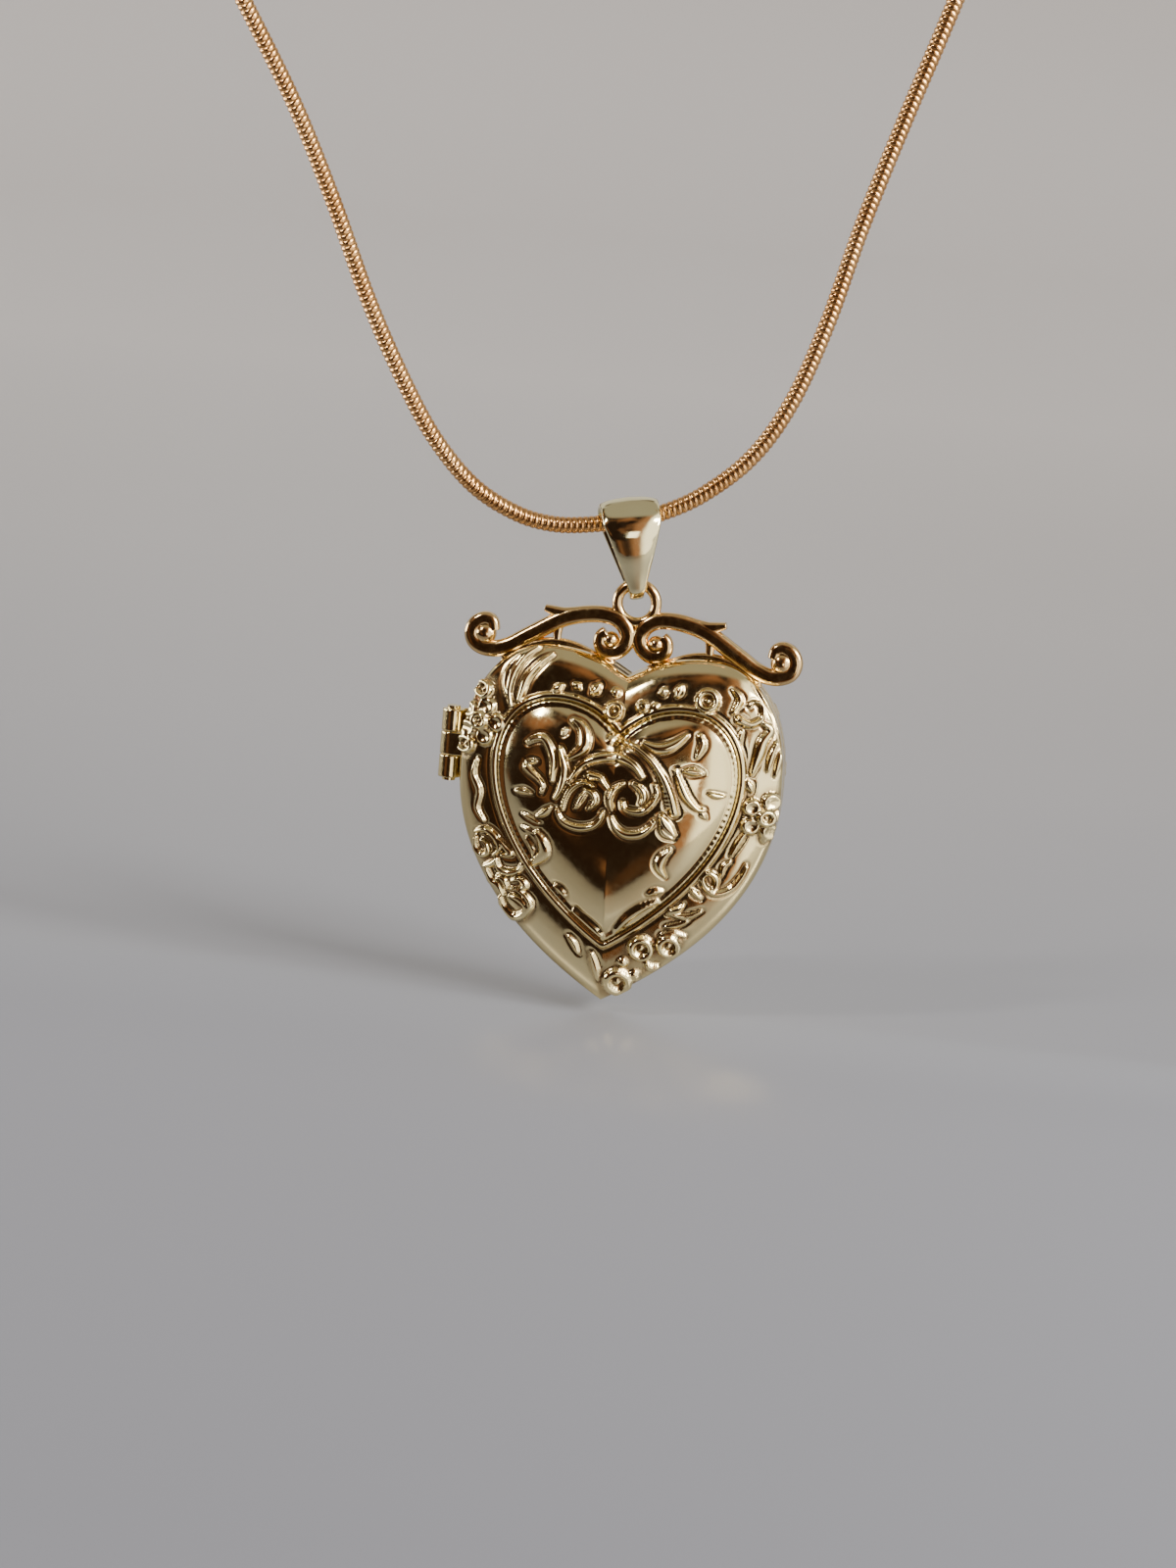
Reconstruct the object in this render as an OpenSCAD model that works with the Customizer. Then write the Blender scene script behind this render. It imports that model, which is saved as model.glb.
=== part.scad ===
// Puffed heart locket with a scrolled crown, hanging by a tapered bail on a snake chain.
// Frame: +X to the wearer's left hand side of the page, -Y is the front, +Z is up.
// The origin is the middle of the chain inside the bail, where the chain carries the locket.

/* [Chain] */
// Diameter of the snake chain
chain_d = 1.4; // [1.0:0.1:1.6]
// Radius of each end cap
cap_r = 1.15; // [1.0:0.05:1.4]
// Length of each end cap
cap_len = 3; // [2.5:0.1:4]

/* [Bail] */
// Distance from the chain's middle to the middle of the eyelet
bail_len = 6.9; // [6.6:0.1:7.1]
// Width of the band where it rides on the chain
bail_top_w = 4.8; // [4.4:0.1:5]
// Width of the band inside the eyelet
bail_bottom_w = 1.2; // [1.0:0.1:1.2]
// Thickness of the band
bail_t = 0.55; // [0.4:0.05:0.6]
// Lean of the bail to the side, following the chain
bail_tilt = 10; // [6:1:12]

/* [Locket] */
// Wall of the stamped halves
wall = 0.45; // [0.35:0.05:0.55]
// Depth of the front half from the parting plane
front_depth = 5.6; // [5:0.1:6.2]
// Depth of the back half from the parting plane
back_depth = 4.8; // [4:0.1:5.4]
// Height of the straight wall beside the parting plane
side_wall = 1.25; // [1.1:0.05:1.4]
// Gap between the closed halves
parting_gap = 0.1; // [0.06:0.02:0.14]

/* [Crown] */
// Thickness of the cast scrolls, front to back
crown_t = 1.2; // [1.0:0.1:1.3]
// Widest part of a scroll's strand
strand_w = 1.15; // [0.9:0.05:1.2]
// Radius of the eyelet's ring, to the middle of its wire
eyelet_r = 1.6; // [1.6:0.05:1.7]
// Thickness of the eyelet's wire
eyelet_wire = 0.9; // [0.8:0.05:0.9]

/* [Hinge] */
// Radius of the hinge knuckles
knuckle_r = 0.92; // [0.85:0.01:0.95]
// Length of one knuckle
knuckle_len = 1.86; // [1.7:0.02:1.9]
// Radius of the hinge pin
pin_r = 0.35; // [0.3:0.01:0.36]
// Clearance between the pin and its bore
pin_gap = 0.05; // [0.03:0.01:0.08]

/* [Hidden] */
$fn = 48;

// Middle of the eyelet, and with it the locket's own middle line
eye_x = bail_len * sin(bail_tilt);
eye_z = -bail_len * cos(bail_tilt);
// Middle of the heart below the eyelet, from which its rings are scaled
heart_mid = -15.5;
// Hinge line beside the heart, and the height of its middle
hinge_x = -14.4;
hinge_h = -13.1;
hinge_pitch = knuckle_len + 0.08;
// Height of the catch on the other side of the heart
catch_h = -14.4;
catch_len = 2.4;
gold = "palegoldenrod";
copper = "peru";

// Route of the chain, left end to right end, as [x, z]
CHAIN = [[-38, 44], [-35.5, 39.7], [-30.4, 31.3], [-26.5, 23.6], [-23, 15.9], [-19.7, 9.8],
    [-16.7, 5.2], [-13.2, 1.6], [-9.4, -0.4], [-6, -1], [-2.4, -0.6], [0, 0], [2.4, 0.7],
    [5.8, 2.6], [9.5, 6], [12.3, 10.7], [14.6, 17.3], [16.7, 25.5], [19.2, 33.8], [21.1, 39.7],
    [23.4, 47]];

// Middle line of one scroll of the crown, from its outer curl to its inner curl, as [x, h]
SCROLL = [[-11.6, -3.4], [-11.8, -2.7], [-12.4, -2.5], [-13.1, -2.9], [-13.4, -3.7], [-13.1, -4.5],
    [-12.3, -4.9], [-11.3, -4.9], [-10.2, -4.5], [-9.1, -3.8], [-8, -3.1], [-6.9, -2.4],
    [-5.8, -1.8], [-4.5, -1.4], [-3.1, -1.2], [-1.9, -1.3], [-1, -1.8], [-0.5, -2.7],
    [-0.7, -3.6], [-1.4, -4.2], [-2.2, -4.2], [-2.7, -3.7], [-2.7, -3], [-2.3, -2.6]];
SCROLL_BALLS = [[-12.1, -3.5], [-1.9, -3.2]];
ball_r = 0.55;

function bezier(p, t) = p[0] * pow(1 - t, 3) + p[1] * 3 * t * pow(1 - t, 2)
    + p[2] * 3 * t * t * (1 - t) + p[3] * pow(t, 3);

// Right side of the heart from the notch over the lobe and down to the tip, as [x, h]
LOBE_IN = [[0, -5.9], [1.3, -5.2], [3.2, -3.9], [6.3, -3.9]];
LOBE_OUT = [[6.3, -3.9], [10.6, -3.9], [13.3, -8], [13.3, -13]];
FLANK = [[13.3, -13], [13.8, -19.8], [10.6, -26.9], [0, -33.1]];
RIGHT_SIDE = concat([for (i = [0:5]) bezier(LOBE_IN, i / 6)], [for (i = [0:7]) bezier(LOBE_OUT, i / 8)],
    [for (i = [0:11]) bezier(FLANK, i / 12)]);
HEART = concat(RIGHT_SIDE, [FLANK[3]],
    [for (i = [len(RIGHT_SIDE) - 1:-1:1]) [-RIGHT_SIDE[i][0], RIGHT_SIDE[i][1]]]);

// The heart scaled about its middle
function heart(s) = [for (p = HEART) [p[0] * s, heart_mid + (p[1] - heart_mid) * s]];
function ring_at(s, y) = [for (p = heart(s)) [p[0], y, p[1]]];
// Height of a dome of the given depth over the parting plane, where s is 1 at its edge
function dome(s, depth) = side_wall + (depth - side_wall) * pow(1 - pow(s, 2.3), 0.58);
DOME_STEPS = [0.985, 0.95, 0.89, 0.8, 0.68, 0.52, 0.32, 0.1];

function centre_of(points) = [for (k = [0:2]) [for (p = points) 1] * [for (p = points) p[k]] / len(points)];

// Closed skin through rings of equal length, closed at each end by triangles about a middle point
module skin(rings, first_middle, last_middle) {
    n = len(rings[0]);
    m = len(rings);
    sides = [for (r = [0:m - 2]) for (i = [0:n - 1]) for (half = [0, 1])
        half == 0 ? [r * n + i, r * n + (i + 1) % n, (r + 1) * n + i]
            : [r * n + (i + 1) % n, (r + 1) * n + (i + 1) % n, (r + 1) * n + i]];
    first = [for (i = [0:n - 1]) [(i + 1) % n, i, m * n]];
    last = [for (i = [0:n - 1]) [(m - 1) * n + i, (m - 1) * n + (i + 1) % n, m * n + 1]];
    polyhedron(points = concat([for (r = rings) for (p = r) p], [first_middle, last_middle]),
        faces = concat(sides, first, last));
}

// Moves the locket's own drawing, whose zero is the eyelet, to its place
module in_locket() {
    translate([eye_x, 0, eye_z]) children();
}

// Plate with the outline of its child in x and z, from y0 to y1
module plate(y0, y1) {
    translate([0, y1, 0]) rotate([90, 0, 0]) linear_extrude(height = y1 - y0) children();
}

// Half shell that opens towards the parting plane; side is 1 for the back and -1 for the front
module half_shell(depth, side) {
    gap = parting_gap / 2;
    inner = 1 - wall / 13;
    outside = concat([for (i = [len(DOME_STEPS) - 1:-1:0]) [DOME_STEPS[i], dome(DOME_STEPS[i], depth)]],
        [[1, side_wall], [1, gap]]);
    inside = concat([[inner, gap], [inner, side_wall]],
        [for (s = DOME_STEPS) [s * inner, dome(s, depth) - wall]]);
    // the front is drawn from its inside outwards, which keeps its faces the right way round
    steps = concat(outside, inside);
    n = len(steps);
    rings = [for (i = [0:n - 1]) let (p = steps[side > 0 ? i : n - 1 - i]) ring_at(p[0], side * p[1])];
    tips = [[0, side * depth, heart_mid], [0, side * (depth - wall), heart_mid]];
    in_locket() skin(rings, tips[side > 0 ? 0 : 1], tips[side > 0 ? 1 : 0]);
}

module heart_ring(outer, inner, y0, y1) {
    in_locket() plate(y0, y1) difference() {
        polygon(heart(outer));
        polygon(heart(inner));
    }
}

module heart_plate(s, y0, y1) {
    in_locket() plate(y0, y1) polygon(heart(s));
}

// ---- chain and its ends ----

function along(p, i) = let (a = p[max(i - 1, 0)], b = p[min(i + 1, len(p) - 1)]) (b - a) / norm(b - a);
// Point of a smooth curve through p, between points i and i + 1
function smooth(p, i, t) = let (
    a = p[max(i - 1, 0)], b = p[i], c = p[i + 1], d = p[min(i + 2, len(p) - 1)])
    0.5 * (2 * b + (c - a) * t + (2 * a - 5 * b + 4 * c - d) * t * t + (3 * b - a - 3 * c + d) * t * t * t);
function curve(p, steps) = concat(
    [for (i = [0:len(p) - 2]) for (k = [0:steps - 1]) smooth(p, i, k / steps)], [p[len(p) - 1]]);

module snake_chain() {
    route = curve(CHAIN, 3);
    rings = [for (i = [0:len(route) - 1]) let (d = along(route, i))
        [for (k = [0:7]) let (a = 22.5 + 45 * k, side = chain_d / 2 * cos(a), up = chain_d / 2 * sin(a))
            [route[i][0] - d[1] * up, side, route[i][1] + d[0] * up]]];
    color(copper) skin(rings, centre_of(rings[0]), centre_of(rings[len(rings) - 1]));
}

// Places a child at an end of the chain, with +Z leading on past the end
module at_end(last) {
    p = last ? CHAIN[len(CHAIN) - 1] : CHAIN[0];
    q = last ? CHAIN[len(CHAIN) - 2] : CHAIN[1];
    translate([p[0], 0, p[1]]) rotate([0, atan2(p[0] - q[0], p[1] - q[1]), 0]) children();
}

module ring(mid_r, wire_r) {
    rotate_extrude() translate([mid_r, 0]) circle(wire_r, $fn = 24);
}

cap_above = 1;
cap_gap = 0.04;
cap_loop_r = 0.85;
cap_loop_wire = 0.28;
cap_loop_z = cap_above + cap_loop_r;
jump_r = 1.5;
jump_wire = 0.35;
jump_z = cap_loop_z + 0.2 + jump_r;
jump_top = jump_z + jump_r;
tag_hole_z = jump_top + 3.55;
claw_z = jump_top + 7.35;

module end_cap(last) {
    color(copper) at_end(last) difference() {
        union() {
            translate([0, 0, cap_above - cap_len]) cylinder(r = cap_r, h = cap_len);
            translate([0, 0, cap_loop_z]) rotate([90, 0, 0]) ring(cap_loop_r, cap_loop_wire);
        }
        translate([0, 0, cap_above - cap_len - 1]) cylinder(r = chain_d / 2 + cap_gap, h = cap_len);
    }
}
module end_cap_left() end_cap(false);
module end_cap_right() end_cap(true);

module jump_ring(last) {
    color(copper) at_end(last) translate([0, 0, jump_z]) rotate([0, 90, 0]) ring(jump_r, jump_wire);
}
module jump_ring_left() jump_ring(false);
module jump_ring_right() jump_ring(true);

tag_t = 0.6;
tag_low_r = 1.5;
tag_low_hole_r = 0.75;
tag_top_r = 2.2;
tag_hole_r = 1.3;

// Flat tag with a small hole for its jump ring and a larger one for the clasp
module end_tag() {
    low = jump_top + 0.3;
    low_side = tag_low_r - 0.02;
    top_side = tag_top_r - 0.02;
    color(copper) at_end(true) difference() {
        plate(-tag_t / 2, tag_t / 2) union() {
            translate([0, low]) circle(tag_low_r);
            translate([0, tag_hole_z]) circle(tag_top_r);
            polygon([[-low_side, low + 0.3], [low_side, low + 0.3],
                [top_side, tag_hole_z - 0.4], [-top_side, tag_hole_z - 0.4]]);
        }
        translate([0, 1, low]) rotate([90, 0, 0]) cylinder(r = tag_low_hole_r, h = 2);
        translate([0, 1, tag_hole_z]) rotate([90, 0, 0]) cylinder(r = tag_hole_r, h = 2);
    }
}

// Part of a flat ring between two angles
module ring_sector(outer, inner, a0, a1) {
    steps = 16;
    polygon(concat(
        [for (i = [0:steps]) let (a = a0 + (a1 - a0) * i / steps) outer * [cos(a), sin(a)]],
        [for (i = [steps:-1:0]) let (a = a0 + (a1 - a0) * i / steps) inner * [cos(a), sin(a)]]));
}

rivet_x = 1.2;
rivet_z = claw_z - 2.8;
rivet_r = 0.28;
rivet_half = 1;
clasp_half_t = 0.9;
hook_inner_r = 1.55;
lever_half_t = 0.35;
lever_reach = 3.62;

module clasp_body() {
    base_z = jump_top + 1.25;
    color(copper) at_end(false) difference() {
        union() {
            plate(-clasp_half_t, clasp_half_t) union() {
                difference() {
                    translate([0, claw_z]) ring_sector(2.7, hook_inner_r, 20, 310);
                    translate([rivet_x, rivet_z]) ring_sector(lever_reach + 0.08, 2, 40, 100);
                }
                polygon([[-0.9, base_z], [0.9, base_z], [2.1, base_z + 1.8], [2.1, claw_z - 2],
                    [-2.1, claw_z - 1.6], [-2.1, base_z + 1.8]]);
            }
            translate([0, 0, jump_top + 0.22]) rotate([90, 0, 0]) ring(0.95, 0.35);
        }
        translate([-0.6, -0.42, rivet_z - 0.9]) cube([4, 0.84, 3.2]);
        translate([rivet_x, 2, rivet_z]) rotate([90, 0, 0]) cylinder(r = rivet_r + 0.04, h = 4);
        translate([0, 2, claw_z]) rotate([90, 0, 0]) cylinder(r = hook_inner_r - 0.01, h = 4);
    }
}

module clasp_rivet() {
    color(copper) at_end(false) translate([rivet_x, 0, rivet_z]) rotate([90, 0, 0]) union() {
        translate([0, 0, -rivet_half]) cylinder(r = rivet_r, h = 2 * rivet_half);
        translate([0, 0, 0.92]) cylinder(r = 0.5, h = 0.16);
        translate([0, 0, -1.08]) cylinder(r = 0.5, h = 0.16);
    }
}

module clasp_spring() {
    color("silver") at_end(false) plate(-0.25, 0.25)
        translate([-0.5, rivet_z - 0.2]) square([0.15, 0.8]);
}

module clasp_lever() {
    color(copper) at_end(false) difference() {
        plate(-lever_half_t, lever_half_t) union() {
            translate([rivet_x, rivet_z]) circle(0.68);
            translate([rivet_x - 0.35, rivet_z]) square([0.7, 1.3]);
            intersection() {
                translate([0, claw_z]) ring_sector(2.45, 1.7, -54, 45);
                translate([rivet_x, rivet_z]) circle(lever_reach);
            }
            translate([2.2, claw_z - 1.3]) square([1.3, 0.7]);
        }
        translate([rivet_x, 1, rivet_z]) rotate([90, 0, 0]) cylinder(r = rivet_r + 0.05, h = 2);
    }
}

// ---- bail ----

// Arc of points about a height on the middle line, from angle a0 to a1
function arc(r, height, a0, a1) = [for (i = [0:16]) let (a = a0 + (a1 - a0) * i / 16)
    [r * cos(a), height + r * sin(a)]];

// Teardrop of two arcs and their straight sides, as seen from the side, upright
module teardrop(top_r, low_r, top_z, low_z) {
    lean = asin((top_r - low_r) / (top_z - low_z));
    polygon(concat(arc(top_r, top_z, -lean, 180 + lean), arc(low_r, low_z, 180 + lean, 360 - lean)));
}

bail_top_r = 1.9;
bail_low_r = 0.75;
bail_crest = chain_d / 2 + 0.36;
// Turn of the loose bail about its own length
bail_yaw = 14;
module bail_band() {
    top_z = bail_crest - bail_top_r;
    low_z = -bail_len + eyelet_r;
    color(gold) rotate([0, -bail_tilt, 0]) rotate([0, 0, bail_yaw]) intersection() {
        translate([-3, 0, 0]) rotate([90, 0, 90]) linear_extrude(height = 6) difference() {
            teardrop(bail_top_r + bail_t, bail_low_r + bail_t, top_z, low_z);
            teardrop(bail_top_r, bail_low_r, top_z, low_z);
        }
        plate(-4, 4) polygon([[-bail_top_w / 2, 2], [bail_top_w / 2, 2], [bail_top_w / 2, 0],
            [bail_bottom_w / 2, -bail_len + 0.9], [bail_bottom_w / 2, -bail_len],
            [-bail_bottom_w / 2, -bail_len], [-bail_bottom_w / 2, -bail_len + 0.9], [-bail_top_w / 2, 0]]);
    }
}

// ---- back half, with the crown ----

module back_shell() color(gold) half_shell(back_depth, 1);

// Rim inside the back half that the front half closes over
module back_inner_rim() {
    color(gold) union() {
        heart_ring(0.964, 0.93, 0.2, 1.2);
        heart_ring(0.955, 0.93, -0.6, 0.3);
    }
}

module back_photo_bezel() color(gold) heart_ring(0.928, 0.8, 0.9, 1.42);
module back_photo_window() color("lightcyan", 0.4) heart_plate(0.915, 1.45, 1.65);
module back_photo_card() color("ivory") heart_plate(0.9, 1.67, 1.85);

// Flat strand of even thickness along points, tapering to both ends
module strand(points, width) {
    line = curve(points, 3);
    n = len(line);
    function half_w(i) = width / 2 * (0.72 + 0.28 * sin(180 * i / (n - 1)));
    left = [for (i = [0:n - 1]) let (d = along(line, i)) line[i] + half_w(i) * [-d[1], d[0]]];
    right = [for (i = [n - 1:-1:0]) let (d = along(line, i)) line[i] - half_w(i) * [-d[1], d[0]]];
    polygon(concat(left, right));
}

module half_crown() {
    plate(-crown_t / 2, crown_t / 2) union() {
        strand(SCROLL, strand_w);
        for (p = SCROLL_BALLS) translate(p) circle(ball_r);
        polygon([[-5.2, -1.3], [-6.2, -1.1], [-7.5, -1], [-7.3, -1.5], [-6.6, -1.9], [-6.2, -2.4]]);
    }
    // feet that are soldered to the wall of the back half
    for (foot = [[-6.7, -4.4, 0.7, 2], [-10.9, -6, 0.9, 1.2], [-2.2, -5.3, 0.8, 1.1]])
        translate([foot[0], 0.12, foot[1]]) cube([foot[2], crown_t / 2 - 0.12, foot[3]]);
}

module crown_scrollwork() {
    color("darkgoldenrod") in_locket() union() {
        half_crown();
        mirror([1, 0, 0]) half_crown();
    }
}

module crown_eyelet() {
    color(gold) in_locket() rotate([90, 0, 0]) ring(eyelet_r, eyelet_wire / 2);
}

// One knuckle around the hinge line with the leaf that joins it to a wall; side as in half_shell
module knuckle(row, side) {
    leaf_y = side > 0 ? knuckle_r - 0.45 : -knuckle_r;
    translate([hinge_x, 0, hinge_h + row * hinge_pitch - knuckle_len / 2]) difference() {
        union() {
            cylinder(r = knuckle_r, h = knuckle_len);
            translate([0, leaf_y, 0]) cube([1.45, 0.45, knuckle_len]);
        }
        translate([0, 0, -1]) cylinder(r = pin_r + pin_gap, h = knuckle_len + 2);
    }
}

module hinge_knuckles_back() {
    color(gold) in_locket() {
        knuckle(1, 1);
        knuckle(-1, 1);
    }
}

module hinge_pin() {
    long = 2 * hinge_pitch + knuckle_len;
    color("goldenrod") in_locket() translate([hinge_x, 0, hinge_h - long / 2]) union() {
        cylinder(r = pin_r, h = long);
        translate([0, 0, -0.25]) cylinder(r = 0.55, h = 0.25);
        translate([0, 0, long]) cylinder(r = 0.55, h = 0.25);
    }
}

module catch_striker() {
    color(gold) in_locket() translate([12.1, -0.1, catch_h - catch_len / 2]) cube([0.32, 0.22, catch_len]);
}

// ---- front half ----

module front_shell() color(gold) half_shell(front_depth, -1);
module front_photo_bezel() color(gold) heart_ring(0.95, 0.82, -1.4, -0.75);
module front_photo_window() color("lightcyan", 0.4) heart_plate(0.93, -1.63, -1.43);
module front_photo_card() color("ivory") heart_plate(0.915, -1.83, -1.65);

module hinge_knuckle_front() color(gold) in_locket() knuckle(0, -1);

// Springy tongue that stands in the front half and snaps past the striker
module catch_tongue() {
    color(gold) in_locket() translate([0, 0, catch_h - catch_len / 2])
        linear_extrude(height = catch_len)
            polygon([[11.75, -1], [12, -1], [12, 0.22], [12.07, 0.3], [12, 0.5], [11.75, 0.5]]);
}

snake_chain();
end_cap_left();
end_cap_right();
jump_ring_left();
jump_ring_right();
end_tag();
clasp_body();
clasp_rivet();
clasp_spring();
clasp_lever();
bail_band();
back_shell();
back_inner_rim();
back_photo_bezel();
back_photo_window();
back_photo_card();
crown_scrollwork();
crown_eyelet();
hinge_knuckles_back();
hinge_pin();
catch_striker();
front_shell();
front_photo_bezel();
front_photo_window();
front_photo_card();
hinge_knuckle_front();
catch_tongue();
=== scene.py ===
"""Looks of the heart locket: relief on both halves, scrolled crown, bail and snake chain."""
import math

import bpy
import numpy as np
from mathutils import Matrix, Vector


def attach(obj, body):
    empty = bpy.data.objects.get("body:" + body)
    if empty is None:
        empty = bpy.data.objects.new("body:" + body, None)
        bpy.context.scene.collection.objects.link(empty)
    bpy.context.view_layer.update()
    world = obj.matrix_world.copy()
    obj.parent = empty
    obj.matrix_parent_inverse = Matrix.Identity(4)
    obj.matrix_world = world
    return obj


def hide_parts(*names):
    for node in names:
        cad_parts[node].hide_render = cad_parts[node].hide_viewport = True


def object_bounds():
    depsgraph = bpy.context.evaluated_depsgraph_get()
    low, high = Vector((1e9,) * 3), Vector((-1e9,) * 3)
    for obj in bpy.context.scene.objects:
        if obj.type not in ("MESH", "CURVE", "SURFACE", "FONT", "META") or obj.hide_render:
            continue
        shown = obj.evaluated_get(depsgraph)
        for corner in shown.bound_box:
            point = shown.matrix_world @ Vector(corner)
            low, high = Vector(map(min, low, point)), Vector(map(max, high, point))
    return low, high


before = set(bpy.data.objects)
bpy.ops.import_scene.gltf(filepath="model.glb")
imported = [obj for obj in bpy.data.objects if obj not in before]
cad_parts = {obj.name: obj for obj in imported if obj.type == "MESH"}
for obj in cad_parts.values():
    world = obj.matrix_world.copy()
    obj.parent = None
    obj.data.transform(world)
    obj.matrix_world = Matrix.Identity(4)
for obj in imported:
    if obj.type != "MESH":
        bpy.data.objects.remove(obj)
CAD_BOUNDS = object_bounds()
MM = 0.001

# ---- driving sizes, in millimetres as in the CAD; depths are measured from the parting plane ----
CHAIN_D = 1.4
CHAIN_PITCH = 0.48
BAIL_LEN = 6.9
BAIL_T = 0.55
BAIL_TOP_W = 4.8
BAIL_BOTTOM_W = 1.2
BAIL_TOP_R = 1.9
BAIL_LOW_R = 0.75
BAIL_CREST = CHAIN_D / 2 + 0.36
EYELET_R = 1.6
BAIL_TILT = math.radians(10)
BAIL_YAW = math.radians(14)
EYE = np.array([BAIL_LEN * math.sin(BAIL_TILT), -BAIL_LEN * math.cos(BAIL_TILT)])
HEART_MID = -15.5
FRONT_DEPTH = 5.6
BACK_DEPTH = 4.8
SIDE_WALL = 1.25
PARTING = 0.05
WALL = 0.45
LIP_SCALE = 0.965
MEDALLION_RISE = 1.65
CORD_TURNS = 120
STROKE_SWELL = 1.25
HALF_AROUND = 560

# ---- the camera: the photograph's viewing angle ----
VIEW_AZIMUTH = math.radians(7)
VIEW_ELEVATION = math.radians(10)
VIEW_ROLL = math.radians(4.9)
VIEW_DISTANCE = 0.35
VIEW_HEIGHT = 0.128
# how far right of and above the middle of the view the origin sits
SEAT_RIGHT = 0.0034
SEAT_UP = 0.0216

# ---- floor, in metres: falls away in front, flat under the locket, rises behind ----
FRONT_SLOPE = math.radians(36)
BEND_R = 0.035
BEND_START = 0.003
SWEEP_START = 1.3
SWEEP_R = 1.2
SWEEP_TURN = math.radians(42)
FLOOR_GAP = 0.0008
FLOOR_HALF_WIDTH = 6.0
FRONT_RUN = 1.5
# colour of the room where the camera sees it past the floor
BACKDROP = (0.42, 0.41, 0.415)


def make_camera():
    """Looks at the locket from a little to the right and above, rolled as a camera held by hand is."""
    towards = Vector((math.sin(VIEW_AZIMUTH) * math.cos(VIEW_ELEVATION),
                      -math.cos(VIEW_AZIMUTH) * math.cos(VIEW_ELEVATION), math.sin(VIEW_ELEVATION)))
    level = (-towards).cross(Vector((0, 0, 1))).normalized()
    upright = level.cross(-towards)
    right = level * math.cos(VIEW_ROLL) + upright * math.sin(VIEW_ROLL)
    up = upright * math.cos(VIEW_ROLL) - level * math.sin(VIEW_ROLL)
    aim = -right * SEAT_RIGHT - up * SEAT_UP
    data = bpy.data.cameras.new("camera")
    data.lens = 36 * VIEW_DISTANCE / VIEW_HEIGHT
    data.clip_start = 0.01
    camera = bpy.data.objects.new("camera", data)
    eye = aim + towards * VIEW_DISTANCE
    camera.matrix_world = Matrix([[right[i], up[i], towards[i], eye[i]] for i in range(3)] + [[0, 0, 0, 1]])
    bpy.context.collection.objects.link(camera)
    bpy.context.scene.camera = camera


# ---- small mesh tools ----

def smooth_curve(points, steps):
    """Points of a smooth curve through the given points, as in the CAD."""
    p = np.array(points, float)
    out = []
    for i in range(len(p) - 1):
        a, b, c, d = p[max(i - 1, 0)], p[i], p[i + 1], p[min(i + 2, len(p) - 1)]
        for k in range(steps):
            t = k / steps
            out.append(0.5 * (2 * b + (c - a) * t + (2 * a - 5 * b + 4 * c - d) * t * t
                              + (3 * b - a - 3 * c + d) * t ** 3))
    out.append(p[-1])
    return np.array(out)


def even_spacing(points, count):
    """The same polyline with count points an equal distance apart."""
    run = np.concatenate([[0], np.cumsum(np.linalg.norm(np.diff(points, axis=0), axis=1))])
    at = np.linspace(0, run[-1], count)
    return np.stack([np.interp(at, run, points[:, k]) for k in range(points.shape[1])], 1)


def tangents(points):
    """Unit directions along a polyline."""
    t = np.gradient(points, axis=0)
    return t / np.linalg.norm(t, axis=1)[:, None]


def grid_faces(rows, columns, closed=True):
    """Quads between rows of points; closed joins the last column to the first."""
    r = np.arange(rows - 1)[:, None]
    c = np.arange(columns if closed else columns - 1)[None, :]
    n = (c + 1) % columns
    quads = np.stack([r * columns + c, r * columns + n, (r + 1) * columns + n, (r + 1) * columns + c], -1)
    return quads.reshape(-1, 4)


def capped_grid(rows, columns):
    """Quads between rings, with a fan about each of the two end points that follow the rings."""
    faces = grid_faces(rows, columns).tolist()
    last_row, first, last = (rows - 1) * columns, rows * columns, rows * columns + 1
    for k in range(columns):
        n = (k + 1) % columns
        faces.append([n, k, first])
        faces.append([last_row + k, last_row + n, last])
    return faces


def make_piece(name, verts_mm, faces, material, body, smooth=True, values=None):
    """A mesh piece in metres that rides on a body; values become the point attribute cavity."""
    mesh = bpy.data.meshes.new(name)
    mesh.from_pydata((np.asarray(verts_mm) * MM).tolist(), [], [list(map(int, f)) for f in faces])
    mesh.polygons.foreach_set("use_smooth", [smooth] * len(mesh.polygons))
    if values is not None:
        mesh.attributes.new("cavity", "FLOAT", "POINT").data.foreach_set("value", np.asarray(values, float))
    mesh.update()
    mesh.materials.append(material)
    piece = bpy.data.objects.new(name, mesh)
    bpy.context.collection.objects.link(piece)
    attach(piece, body)
    return piece


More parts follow.
